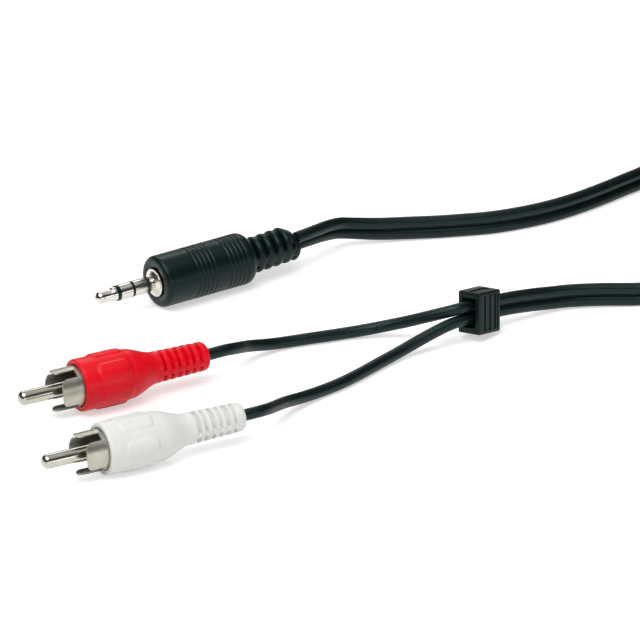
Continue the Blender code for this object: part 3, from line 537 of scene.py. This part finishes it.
jack = {
    "x": 0.00225, "y": 0.03249, "heading": 3.6, "seam": 0.03 * mm,
    "tipLength": 15.0 * mm, "noseLength": 1.35 * mm, "nosePower": 0.72,
    "bulletLength": 1.6 * mm, "bulletRadius": 1.4 * mm, "waistRadius": 1.25 * mm,
    "waistX": -11.0 * mm, "collarX": -10.8 * mm, "collarRadius": 1.55 * mm,
    "rodRadius": 0.5 * mm, "tipEdge": 0.08 * mm,
    "barrelRadius": 1.75 * mm, "bandBore": 1.0 * mm, "bandGap": 0.02 * mm,
    "bandEdge": 0.06 * mm, "tipInsulatorX": -9.9 * mm, "ringX": -9.15 * mm,
    "ringInsulatorX": -6.15 * mm,
    "sleeveX": -5.55 * mm, "sleeveBore": 1.3 * mm, "sleeveEdge": 0.09 * mm,
    "neckX": -1.5 * mm, "neckStep": 0.2 * mm, "neckRadius": 1.55 * mm,
    "coneX": -0.7 * mm, "coneStart": 1.8 * mm, "coneEnd": 2.65 * mm,
    "flangeRadius": 3.15 * mm, "flangeThickness": 0.4 * mm,
    "stemRadius": 2.4 * mm, "stemEnd": 3.0 * mm,
    "bodyRadius": 5.75 * mm, "bodyEnd": 21.9 * mm, "shoulderEnd": 23.8 * mm,
    "bodyLead": 0.4 * mm, "bodyStep": 0.13 * mm, "bodyClear": 0.1 * mm,
    "frontRounding": 1.1 * mm, "pocketRadius": 3.3 * mm, "pocketEnd": 12.9 * mm,
    "pocketChamfer": 0.15 * mm, "plainEnd": 6.0 * mm,
    "grooveStarts": (8.3 * mm, 16.5 * mm), "groovePitch": 1.1 * mm, "grooveCount": 5,
    "grooveDepth": 0.2 * mm, "grooveHalf": 0.26 * mm, "grooveFlat": 0.05 * mm,
    "ribRadius": 4.0 * mm, "ribPower": 2.3, "ribStep": 0.09 * mm, "ribClear": 0.05 * mm,
    "coreRadius": 2.6 * mm, "bend": 0.5 * mm, "endFall": 0.55, "fallFrom": 0.1, "fallTo": 0.8,
    "firstGap": 24.9 * mm, "gapPitch": 2.34 * mm, "gapCount": 5, "gapHalf": 0.2 * mm,
    "end": 36.2 * mm, "endRounding": 1.3 * mm,
    "webCentre": -3.0, "webHalf": 16.0, "webBlend": 4.0, "webDepth": 0.3 * mm,
}
jackPlace = plugPlace(jack, "jack_housing")


def jackTip():
    j = jack
    nose = -j["tipLength"]
    end = j["tipInsulatorX"] - j["seam"]
    steps = 12
    profile = [(nose, 0)]
    for i in range(1, steps + 1):
        share = i / steps
        profile.append((nose + j["noseLength"] * share,
                        j["bulletRadius"] * math.sin(math.pi / 2 * share ** j["nosePower"])))
    profile += edged([
        (nose + j["bulletLength"], j["bulletRadius"]), (j["waistX"], j["waistRadius"]),
        (j["collarX"], j["collarRadius"]), (end, j["collarRadius"]), (end, j["rodRadius"])],
        j["tipEdge"])
    profile.append((end, 0))
    addPiece("jackTip", turned(profile, sides=64), jackNickelPaintedLight, ["jack_tip"], jackPlace)


def jackBand(name, node, material, start, end, radius):
    j = jack
    end -= j["bandGap"]
    profile = edged([(start, j["bandBore"]), (start, radius), (end, radius),
                     (end, j["bandBore"])], j["bandEdge"])
    addPiece(name, turned(profile, sides=64, closed=True), material, [node], jackPlace)


def jackBands():
    # The black rings stand a seam lower than the ring contact between them.
    j = jack
    low = j["barrelRadius"] - j["seam"]
    jackBand("jackTipInsulator", "jack_tip_insulator", blackPvc,
             j["tipInsulatorX"], j["ringX"], low)
    jackBand("jackRing", "jack_ring", jackNickelPaintedLight,
             j["ringX"], j["ringInsulatorX"], j["barrelRadius"])
    jackBand("jackRingInsulator", "jack_ring_insulator", blackPvc,
             j["ringInsulatorX"], j["sleeveX"], low)


def jackSleeve():
    j = jack
    profile = edged([
        (j["sleeveX"], j["sleeveBore"]), (j["sleeveX"], j["barrelRadius"]),
        (j["neckX"], j["barrelRadius"]), (j["neckX"] + j["neckStep"], j["neckRadius"]),
        (j["coneX"], j["neckRadius"]), (j["coneX"], j["coneStart"]), (0, j["coneEnd"]),
        (0, j["flangeRadius"]), (j["flangeThickness"], j["flangeRadius"]),
        (j["flangeThickness"], j["stemRadius"]), (j["stemEnd"], j["stemRadius"]),
        (j["stemEnd"], j["sleeveBore"])], j["sleeveEdge"])
    addPiece("jackSleeve", turned(profile, sides=96, closed=True), jackNickelPaintedLight,
             ["jack_sleeve"], jackPlace)


def jackSurface(x, radius, angle):
    j = jack
    if x < j["plainEnd"] or (x <= j["pocketEnd"] and radius <= j["pocketRadius"]):
        return radius
    reach = radius
    for start in j["grooveStarts"]:
        for i in range(j["grooveCount"]):
            away = abs(x - start - i * j["groovePitch"])
            reach -= j["grooveDepth"] * (1 - ramp(away, j["grooveFlat"], j["grooveHalf"]))
    upFromNear = angleFrom(math.pi, angle)  # 0 on the near side, positive upwards
    if x < j["shoulderEnd"]:
        return reach
    # The relief bends up a little, and its end slopes down to the cable on top.
    rise = math.sin(upFromNear)
    top = ramp(rise, j["fallFrom"], j["fallTo"])
    crest = j["firstGap"] + (j["gapCount"] - 1.5) * j["gapPitch"]  # middle of the last full rib
    reach += j["bend"] * rise * ramp(x, j["firstGap"], j["end"])
    reach -= top * j["endFall"] * max(x - crest, 0)
    web = 0.0
    for centre in (j["webCentre"], 180 - j["webCentre"]):
        off = abs(math.degrees(angleFrom(upFromNear, math.radians(centre))))
        edge = ramp(off, j["webHalf"] - j["webBlend"], j["webHalf"] + j["webBlend"])
        web = max(web, 1 - edge)
    floor = j["coreRadius"] + web * (j["ribRadius"] - j["webDepth"] - j["coreRadius"])
    for i in range(j["gapCount"]):
        # Rounded ribs, with a narrow deep gap between each two.
        away = abs(x - j["firstGap"] - i * j["gapPitch"]) - j["gapHalf"]
        half = j["gapPitch"] / 2 - j["gapHalf"]
        if away < half:
            inwards = 1 - max(away, 0) / half
            share = (1 - inwards ** j["ribPower"]) ** (1 / j["ribPower"])
            if i == j["gapCount"] - 1:
                share += top * (1 - share)
            reach -= (1 - share) * (j["ribRadius"] - floor)
    return reach


def jackHousing():
    j = jack
    front = j["flangeThickness"]
    edge = j["frontRounding"]
    profile = [(j["pocketEnd"], 0), (j["pocketEnd"], j["pocketRadius"]),
               (front + j["pocketChamfer"], j["pocketRadius"]),
               (front, j["pocketRadius"] + j["pocketChamfer"])]
    profile += arc(front + edge, j["bodyRadius"] - edge, edge, 180, 90)
    profile += evenPoints(front + edge + j["bodyLead"], j["bodyEnd"] - j["bodyClear"],
                          j["bodyStep"], lambda x: j["bodyRadius"])
    drop = j["bodyRadius"] - j["ribRadius"]
    fall = j["shoulderEnd"] - j["bodyEnd"]
    steps = 16
    for i in range(steps + 1):
        turn = math.radians(90 - 90 * i / steps)
        profile.append((j["bodyEnd"] + fall * math.cos(turn),
                        j["ribRadius"] + drop * math.sin(turn)))
    edge = j["endRounding"]
    profile += evenPoints(j["shoulderEnd"] + j["ribStep"], j["end"] - edge - j["ribClear"],
                          j["ribStep"], lambda x: j["ribRadius"])
    profile += arc(j["end"] - edge, j["ribRadius"] - edge, edge, 90, 0)
    profile.append((j["end"], 0))
    addPiece("jackHousing", turned(profile, sides=120, surface=jackSurface), blackPvc,
             ["jack_housing"], jackPlace, crease=60)


jackTip()
jackBands()
jackSleeve()
jackHousing()
print("jack made")


# Phono plugs: x runs from the housing's front plane back along the cable

phono = {
    "pinRadius": 1.6 * mm, "pinLength": 13.7 * mm, "pinEnd": 5.0 * mm,
    "pinRounding": 1.35 * mm, "pinPower": 0.9,
    "collarRadius": 4.5 * mm, "collarTipRadius": 4.45 * mm, "collarWall": 0.35 * mm,
    "collarSeat": 5.0 * mm, "slotStop": 0.9 * mm, "bandFront": 0.3 * mm,
    "petalDepth": 1.8 * mm, "petalPower": 2.4, "petalBlunt": 0.2, "petalTurn": 9.0,
    "widePetal": {"half": 43.0, "reach": 5.2 * mm},
    "narrowPetal": {"half": 21.0, "reach": 5.8 * mm},
    "insulatorFront": 2.6 * mm, "insulatorBack": 4.9 * mm, "insulatorBore": 1.64 * mm,
    "insulatorGap": 0.04 * mm, "insulatorEdge": 0.1 * mm,
    "bodyLead": 0.3 * mm, "bodyStep": 0.14 * mm, "bodyClear": 0.05 * mm,
    "bodyRadius": 5.7 * mm, "frontRounding": 0.5 * mm, "boreRadius": 4.62 * mm,
    "boreChamfer": 0.12 * mm, "pocketEnd": 12.5 * mm,
    "taperRadius": 5.4 * mm, "reliefRadius": 3.45 * mm, "reliefEndRadius": 3.15 * mm,
    "padCount": 6, "padHeight": 0.3 * mm, "padCentre": 7.4 * mm, "padHalfLength": 3.7 * mm,
    "padHalfWidth": 1.75 * mm, "padCorner": 1.3 * mm, "padEdge": 0.36 * mm,
    "grooveCount": 6, "groovePitch": 1.75 * mm, "grooveDepth": 1.15 * mm,
    "grooveHalf": 0.46 * mm, "grooveFlat": 0.12 * mm,
    "webHalf": 8.0, "webBlend": 4.0, "endRounding": 1.1 * mm,
}
plugs = {
    "red": {"x": -0.03711, "y": -0.00429, "heading": -1.35, "length": 31.05 * mm,
            "bodyEnd": 8.7 * mm, "taperEnd": 11.8 * mm, "neckEnd": 18.7 * mm,
            "firstGroove": 19.85 * mm, "padTurn": -15.0, "webTurn": -8.0,
            "material": redPvc, "mouth": redInsulator},
    "white": {"x": -0.0473, "y": -0.03338, "heading": -1.8, "length": 33.4 * mm,
              "bodyEnd": 9.2 * mm, "taperEnd": 12.8 * mm, "neckEnd": 20.3 * mm,
              "firstGroove": 21.9 * mm, "padTurn": 10.0, "webTurn": -15.0,
              "material": whitePvc, "mouth": whiteInsulator},
}


def plugRadius(x, plug):
    # The body, a slight taper, the neck and the relief, without pads or grooves.
    p = phono
    if x < plug["bodyEnd"]:
        return p["bodyRadius"]
    if x < plug["taperEnd"]:
        share = (x - plug["bodyEnd"]) / (plug["taperEnd"] - plug["bodyEnd"])
        return p["bodyRadius"] + share * share * (p["taperRadius"] - p["bodyRadius"])
    if x < plug["neckEnd"]:
        share = ramp(x, plug["taperEnd"], plug["neckEnd"])
        return p["taperRadius"] + share * (p["reliefRadius"] - p["taperRadius"])
    share = (x - plug["neckEnd"]) / (plug["length"] - plug["neckEnd"])
    return p["reliefRadius"] + share * (p["reliefEndRadius"] - p["reliefRadius"])


def padLift(x, upFromNear, plug):
    # Raised pads with rounded corners, round the widest part of the body.
    p = phono
    corner = p["padCorner"]
    dx = max(abs(x - p["padCentre"]) - p["padHalfLength"] + corner, 0)
    best = 0.0
    for i in range(p["padCount"]):
        centre = math.radians(plug["padTurn"] + 360 / p["padCount"] * i)
        across = abs(angleFrom(upFromNear, centre)) * p["bodyRadius"]
        dy = max(across - p["padHalfWidth"] + corner, 0)
        beyond = math.hypot(dx, dy) - corner
        best = max(best, 1 - ramp(beyond, -p["padEdge"], p["padEdge"]))
    return best * p["padHeight"]


def grooveCut(x, upFromNear, plug):
    # The relief's ring grooves, which a web crosses on two sides.
    p = phono
    turn = math.radians(plug["webTurn"])
    near = abs(math.degrees(angleFrom(upFromNear, turn)))
    far = abs(math.degrees(angleFrom(upFromNear, math.pi - turn)))
    web = 1 - ramp(min(near, far), p["webHalf"] - p["webBlend"], p["webHalf"] + p["webBlend"])
    cut = 0.0
    for i in range(p["grooveCount"]):
        away = abs(x - plug["firstGroove"] - i * p["groovePitch"])
        cut += 1 - ramp(away, p["grooveFlat"], p["grooveHalf"])
    return cut * p["grooveDepth"] * (1 - web)


def phonoHousing(colour, plug, place):
    p = phono

    def surface(x, radius, angle):
        upFromNear = angleFrom(math.pi, angle)
        return radius + padLift(x, upFromNear, plug) - grooveCut(x, upFromNear, plug)

    profile = [(p["pocketEnd"], 0), (p["pocketEnd"], p["boreRadius"]),
               (p["boreChamfer"], p["boreRadius"]), (0, p["boreRadius"] + p["boreChamfer"])]
    edge = p["frontRounding"]
    profile += arc(edge, p["bodyRadius"] - edge, edge, 180, 90, steps=8)
    start = edge + p["bodyLead"]
    end = plug["length"]
    edge = p["endRounding"]
    profile += evenPoints(start, end - edge - p["bodyClear"], p["bodyStep"],
                          lambda x: plugRadius(x, plug))
    profile += arc(end - edge, p["reliefEndRadius"] - edge, edge, 90, 0)
    profile.append((end, 0))
    addPiece(colour + "Housing", turned(profile, sides=168, surface=surface), plug["material"],
             [colour + "_housing"], place, crease=60)


def phonoCollar(colour, place):
    # A stamped ring with four sprung petals, two wide and two narrow, each made as a grid.
    p = phono
    work = bmesh.new()
    across = 18
    rounds = 26
    gapSteps = 4
    petals = [p["widePetal"], p["narrowPetal"]] * 2
    outer, inner = {}, {}

    def radiusAt(x):
        share = ramp(-x, 0, p["narrowPetal"]["reach"])
        return p["collarRadius"] + share * (p["collarTipRadius"] - p["collarRadius"])

    def petalHalf(x, petal):
        # Half the angle that a petal spans at x; its front end is rounded like a thumbnail.
        left = 1 - min(max(x + petal["reach"], 0) / p["petalDepth"], 1)
        share = (1 - left ** p["petalPower"]) ** (1 / p["petalPower"])
        return math.radians(petal["half"]) * max(share, p["petalBlunt"])

    def petalCentre(k):
        return math.radians(180 - p["petalTurn"] + 90 * k)

    def corner(x, angle, wall):
        reach = radiusAt(x) - wall
        return work.verts.new((x, reach * math.cos(angle), reach * math.sin(angle)))

    for k, petal in enumerate(petals):
        for i in range(rounds + 1):
            share = 1 - (1 - i / rounds) ** 1.7  # rows lie closer together at the rounded end
            x = -p["slotStop"] - share * (petal["reach"] - p["slotStop"])
            half = petalHalf(x, petal)
            for c in range(across + 1):
                angle = petalCentre(k) - half + 2 * half * c / across
                outer[k, i, c] = corner(x, angle, 0)
                inner[k, i, c] = corner(x, angle, p["collarWall"])
        for i in range(rounds):
            for c in range(across):
                work.faces.new((outer[k, i, c], outer[k, i, c + 1],
                                outer[k, i + 1, c + 1], outer[k, i + 1, c]))
                work.faces.new((inner[k, i, c], inner[k, i + 1, c],
                                inner[k, i + 1, c + 1], inner[k, i, c + 1]))
            for c in (0, across):
                work.faces.new((outer[k, i, c], outer[k, i + 1, c],
                                inner[k, i + 1, c], inner[k, i, c]))
        for c in range(across):
            work.faces.new((outer[k, rounds, c], outer[k, rounds, c + 1],
                            inner[k, rounds, c + 1], inner[k, rounds, c]))

    # The band behind the slots, which runs back into the housing. Its front row is the
    # petals' back row, with corners added in the slots.
    ringAngles = []
    for k, petal in enumerate(petals):
        half = petalHalf(-p["slotStop"], petal)
        start = petalCentre(k) + half
        step = math.radians(90 - p["widePetal"]["half"] - p["narrowPetal"]["half"]) / gapSteps
        ringAngles += [(k, c, petalCentre(k) - half + 2 * half * c / across)
                       for c in range(across + 1)]
        ringAngles += [(k, None, start + step * g) for g in range(1, gapSteps)]
    outerRows, innerRows = [], []
    for x in (-p["slotStop"], -p["bandFront"], p["collarSeat"]):
        outerRow, innerRow = [], []
        for k, c, angle in ringAngles:
            if x == -p["slotStop"] and c is not None:
                outerRow.append(outer[k, 0, c])
                innerRow.append(inner[k, 0, c])
            else:
                outerRow.append(corner(x, angle, 0))
                innerRow.append(corner(x, angle, p["collarWall"]))
        outerRows.append(outerRow)
        innerRows.append(innerRow)
    for rows in (outerRows, innerRows):
        for first, second in zip(rows, rows[1:]):
            joinRings(work, first, second)
    joinRings(work, outerRows[-1], innerRows[-1])
    for i in range(len(ringAngles)):
        j = (i + 1) % len(ringAngles)
        if ringAngles[i][1] is None or ringAngles[j][1] is None:
            work.faces.new((outerRows[0][i], outerRows[0][j], innerRows[0][j], innerRows[0][i]))
    addPiece(colour + "Collar", work, collarNickelPaintedShade, [colour + "_collar"], place,
             crease=40)


def phonoPin(colour, place):
    p = phono
    tip = -p["pinLength"]
    steps = 14
    profile = [(tip, 0)]
    for i in range(1, steps + 1):
        turn = math.radians(90 * i / steps)
        profile.append((tip + p["pinRounding"] * (1 - math.cos(turn)),
                        p["pinRadius"] * math.sin(turn) ** p["pinPower"]))
    profile += [(p["pinEnd"], p["pinRadius"]), (p["pinEnd"], 0)]
    addPiece(colour + "Pin", turned(profile, sides=64), nickel, [colour + "_pin"],
             place)


def phonoInsulator(colour, plug, place):
    p = phono
    outer = p["collarRadius"] - p["collarWall"] - p["insulatorGap"]
    front = p["insulatorFront"]
    back = p["insulatorBack"]
    bore = p["insulatorBore"]
    profile = edged([(front, bore), (front, outer), (back, outer), (back, bore)],
                    p["insulatorEdge"])
    addPiece(colour + "Insulator", turned(profile, sides=96, closed=True), plug["mouth"],
             [colour + "_insulator"], place)


for colour, plug in plugs.items():
    place = plugPlace(plug, colour + "_insulator")
    phonoPin(colour, place)
    phonoInsulator(colour, plug, place)
    phonoCollar(colour, place)
    phonoHousing(colour, plug, place)
    print(colour, "plug made")


# Splitter block

block = {
    "x": 0.0564, "y": -0.01424, "turn": (-9.3, 10.7, 18.7),
    "length": 7.1 * mm, "width": 6.1 * mm, "height": 9.2 * mm, "rounding": 0.4 * mm,
    "slotWidth": 3.7 * mm, "slotHeight": 6.5 * mm, "lip": 0.8 * mm, "panelDepth": 0.15 * mm,
    "grooves": 3, "groovePitch": 1.7 * mm, "grooveHalf": 0.38 * mm, "grooveDepth": 0.2 * mm,
    "topGrooveHalf": 0.7 * mm, "edge": 0.07 * mm, "sharpFrom": 50.0,
}


def boxWork(low, high):
    work = bmesh.new()
    bmesh.ops.create_cube(work, size=1.0)
    size = Vector(high) - Vector(low)
    middle = (Vector(high) + Vector(low)) / 2
    bmesh.ops.transform(work, matrix=Matrix.Diagonal((*size, 1)), verts=work.verts)
    bmesh.ops.translate(work, vec=middle, verts=work.verts)
    return work


def blockCuts(half):
    # Boxes cut from the block: its slot, a groove on top, and on each broad side a panel
    # with grooves across it.
    b = block
    inside = half.x - b["lip"]
    top = half.z - b["lip"]
    beyond = 1 * mm  # how far a cut runs out past the block
    cuts = [((-half.x - beyond, -b["slotWidth"] / 2, -b["slotHeight"] / 2),
             (half.x + beyond, b["slotWidth"] / 2, b["slotHeight"] / 2)),
            ((-inside, -b["topGrooveHalf"], half.z - b["grooveDepth"]),
             (inside, b["topGrooveHalf"], half.z + beyond))]
    for side in (-1, 1):
        panel = side * (half.y - b["panelDepth"])
        floor = side * (half.y - b["panelDepth"] - b["grooveDepth"])
        outer = side * (half.y + beyond)
        cuts.append(((-inside, min(panel, outer), -top), (inside, max(panel, outer), top)))
        for i in range(b["grooves"]):
            centre = (i - (b["grooves"] - 1) / 2) * b["groovePitch"]
            cuts.append(((centre - b["grooveHalf"], min(floor, outer), -top),
                         (centre + b["grooveHalf"], max(floor, outer), top)))
    return cuts


def splitterBlock():
    b = block
    half = Vector((b["length"], b["width"], b["height"])) / 2
    base = newObject("blockBase", boxWork(-half, half))
    rounding = base.modifiers.new("rounding", "BEVEL")
    rounding.width = b["rounding"]
    rounding.segments = 5
    cutters = []
    for i, (low, high) in enumerate(blockCuts(half)):
        cutter = newObject(f"blockCut{i}", boxWork(low, high))
        modifier = base.modifiers.new(cutter.name, "BOOLEAN")
        modifier.operation = "DIFFERENCE"
        modifier.object = cutter
        modifier.solver = "EXACT"
        cutters.append(cutter)
    bpy.context.view_layer.update()
    ready = base.evaluated_get(bpy.context.evaluated_depsgraph_get())
    shaped = bmesh.new()
    shaped.from_mesh(ready.to_mesh())
    ready.to_mesh_clear()
    for item in cutters + [base]:
        bpy.data.objects.remove(item, do_unlink=True)
    sharp = math.radians(b["sharpFrom"])
    edges = [edge for edge in shaped.edges
             if len(edge.link_faces) == 2 and edge.calc_face_angle(0) > sharp]
    bmesh.ops.bevel(shaped, geom=edges, offset=b["edge"], segments=2, affect="EDGES",
                    clamp_overlap=True)
    place = Matrix.Translation((b["x"], b["y"], middleHeight("splitter_block")))
    for angle, axis in zip(b["turn"][::-1], "ZYX"):
        place = place @ Matrix.Rotation(math.radians(angle), 4, axis)
    addPiece("splitterBlock", shaped, blackPvc, ["splitter_block"], place,
             crease=40)


splitterBlock()
print("splitter block made")


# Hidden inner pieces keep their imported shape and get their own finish

innerFinishes = {
    "jack_tip_lug": brass, "jack_ring_lug": brass, "jack_sleeve_lug": brass,
    "jack_inner_mould": innerMoulding, "red_inner_mould": innerMoulding,
    "white_inner_mould": innerMoulding,
}
for node, material in innerFinishes.items():
    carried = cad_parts[node]
    carried.data.materials.clear()
    carried.data.materials.append(material)
print("inner pieces finished")


# Floor, lights and world

stage = {
    "floorSize": 6.0, "floorColour": (0.80, 0.80, 0.80), "floorRoughness": 0.9,
    "floorGlow": 0.52, "skyStrength": 0.74,
    "skyBands": ((0.05, 0.62), (0.17, 0.09), (0.72, 0.09), (0.86, 1.0)),
}
softboxes = {
    "keySoftbox": {"place": (-0.35, -0.15, 0.85), "aim": (0.02, 0.0, 0.0),
                   "width": 0.85, "height": 0.75, "power": 7.2},
    "fillSoftbox": {"place": (-0.05, -0.95, 0.18), "aim": (0.03, 0.0, 0.0),
                    "width": 1.50, "height": 0.20, "power": 2.8},
    "backSoftbox": {"place": (0.25, 0.80, 0.60), "aim": (0.03, 0.0, 0.0),
                    "width": 0.70, "height": 0.30, "power": 2.2},
}


def makeFloor():
    work = bmesh.new()
    bmesh.ops.create_grid(work, x_segments=1, y_segments=1, size=stage["floorSize"] / 2)
    floor = newObject("floor", work)
    material, nodes, links, shader = newMaterial("paleFloor")
    shader.inputs["Base Color"].default_value = (*stage["floorColour"], 1)
    shader.inputs["Roughness"].default_value = stage["floorRoughness"]
    shader.inputs["Specular IOR Level"].default_value = 0.0
    # Seen directly, in metal or through glass the floor is white; it lights nothing more.
    rays = nodes.new("ShaderNodeLightPath")
    seen = rays.outputs["Is Camera Ray"]
    for kind in ("Is Glossy Ray", "Is Transmission Ray"):
        either = nodes.new("ShaderNodeMath")
        either.operation = "MAXIMUM"
        links.new(seen, either.inputs[0])
        links.new(rays.outputs[kind], either.inputs[1])
        seen = either.outputs[0]
    glow = nodes.new("ShaderNodeMath")
    glow.operation = "MULTIPLY"
    glow.inputs[1].default_value = stage["floorGlow"]
    links.new(seen, glow.inputs[0])
    shader.inputs["Emission Color"].default_value = (1, 1, 1, 1)
    links.new(glow.outputs[0], shader.inputs["Emission Strength"])
    floor.data.materials.append(material)


def addSoftbox(name, box):
    data = bpy.data.lights.new(name, "AREA")
    data.shape = "RECTANGLE"
    data.size = box["width"]
    data.size_y = box["height"]
    data.energy = box["power"]
    light = bpy.data.objects.new(name, data)
    light.location = box["place"]
    aim = Vector(box["aim"]) - Vector(box["place"])
    light.rotation_euler = aim.to_track_quat("-Z", "Y").to_euler()
    bpy.context.collection.objects.link(light)


def makeWorld():
    # A sky in bands of height, so that round plastic shows soft bright and dark stripes.
    world = bpy.data.worlds.new("studio")
    bpy.context.scene.world = world
    world.use_nodes = True
    nodes = world.node_tree.nodes
    links = world.node_tree.links
    background = nodes["Background"]
    background.inputs["Strength"].default_value = stage["skyStrength"]
    place = nodes.new("ShaderNodeTexCoord")
    split = nodes.new("ShaderNodeSeparateXYZ")
    links.new(place.outputs["Generated"], split.inputs["Vector"])
    fade = nodes.new("ShaderNodeValToRGB")
    steps = fade.color_ramp.elements
    while len(steps) < len(stage["skyBands"]):
        steps.new(1.0)
    for step, (position, level) in zip(steps, stage["skyBands"]):
        step.position = position
        step.color = (level, level, level, 1)
    links.new(split.outputs["Z"], fade.inputs["Fac"])
    links.new(fade.outputs["Color"], background.inputs["Color"])


makeFloor()
makeWorld()
for name, box in softboxes.items():
    addSoftbox(name, box)
bpy.context.scene.view_settings.view_transform = "Standard"
print("stage set")
